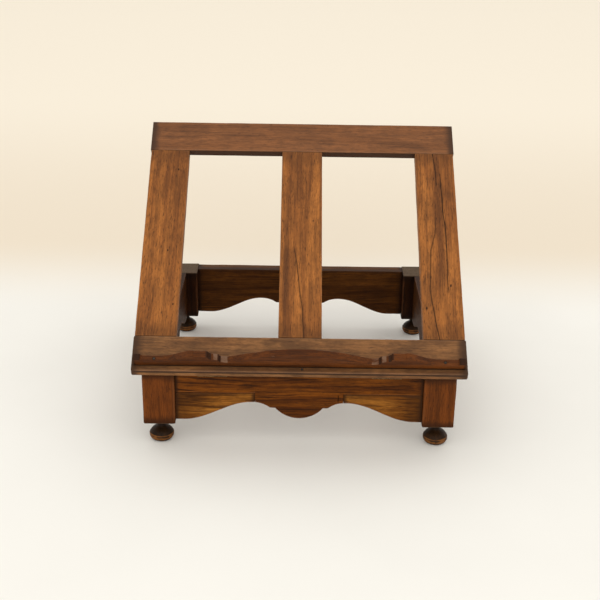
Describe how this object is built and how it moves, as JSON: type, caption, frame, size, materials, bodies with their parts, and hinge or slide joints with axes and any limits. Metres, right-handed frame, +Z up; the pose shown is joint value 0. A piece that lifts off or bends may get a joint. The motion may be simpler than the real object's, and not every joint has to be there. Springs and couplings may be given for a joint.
{
  "type": "photo album stand",
  "caption": "Slanted open easel frame with a scalloped ledge, hinged on a low base of square posts, scalloped aprons and turned bun feet, with a folding strut on a notched bar.",
  "frame": {"origin": "centre of the bounding box in plan, on the surface that the feet stand on", "axes": "+X to the reader's right, along the rails; +Y from the reader to the back of the stand; +Z up"},
  "size_m": [0.43, 0.417, 0.357],
  "materials": {
    "stile_walnut": "waxed, warm orange brown, open pores and dark cracks",
    "rail_walnut": "waxed, dull red brown with greyed patches",
    "post_walnut": "waxed, dark red brown, worn arrises",
    "apron_walnut": "waxed, dark red brown",
    "repair_walnut": "waxed, lighter golden brown",
    "dark_foot": "blackened, worn to brown on the edges",
    "aged_brass": "tarnished",
    "dark_steel": "darkened"
  },
  "bodies": {
    "base": {"post_front_left": "post_walnut", "post_front_right": "post_walnut", "post_rear_left": "post_walnut", "post_rear_right": "post_walnut", "foot_front_left": "dark_foot", "foot_front_right": "dark_foot", "foot_rear_left": "dark_foot", "foot_rear_right": "dark_foot", "front_apron": "apron_walnut", "rear_apron": "apron_walnut", "left_apron": "apron_walnut", "right_apron": "apron_walnut", "front_apron_block_left": "repair_walnut", "front_apron_block_right": "repair_walnut", "ratchet_bar": "apron_walnut", "hinge_left_base_leaf": "aged_brass", "hinge_left_pin": "dark_steel", "hinge_left_base_screw_1": "dark_steel", "hinge_left_base_screw_2": "dark_steel", "hinge_left_base_screw_3": "dark_steel", "hinge_right_base_leaf": "aged_brass", "hinge_right_pin": "dark_steel", "hinge_right_base_screw_1": "dark_steel", "hinge_right_base_screw_2": "dark_steel", "hinge_right_base_screw_3": "dark_steel"},
    "easel": {"top_rail": "rail_walnut", "bottom_rail": "rail_walnut", "left_stile": "stile_walnut", "right_stile": "stile_walnut", "centre_stile": "stile_walnut", "book_lip": "rail_walnut", "lip_nail_left": "dark_steel", "lip_nail_right": "dark_steel", "strip_nail": "dark_steel", "hinge_left_easel_leaf": "aged_brass", "hinge_left_easel_screw_1": "dark_steel", "hinge_left_easel_screw_2": "dark_steel", "hinge_left_easel_screw_3": "dark_steel", "hinge_right_easel_leaf": "aged_brass", "hinge_right_easel_screw_1": "dark_steel", "hinge_right_easel_screw_2": "dark_steel", "hinge_right_easel_screw_3": "dark_steel", "strut_bracket": "aged_brass", "bracket_screw_1": "dark_steel", "bracket_screw_2": "dark_steel", "strut_pin": "dark_steel"},
    "strut": {"strut": "apron_walnut"}
  },
  "joints": [
    {"name": "easel_tilt", "type": "hinge", "parent": "base", "child": "easel", "pos_m": [0, -0.18352, 0.105], "axis": [1, 0, 0], "range_deg": [-37.7, 0]},
    {"name": "strut_swing", "type": "hinge", "parent": "easel", "child": "strut", "pos_m": [0, -0.04443, 0.20631], "axis": [1, 0, 0], "range_deg": [0, 73.6]}
  ],
  "couplings": [
    {"joint": "strut_swing", "follows": "easel_tilt", "ratio": -1.9496}
  ]
}
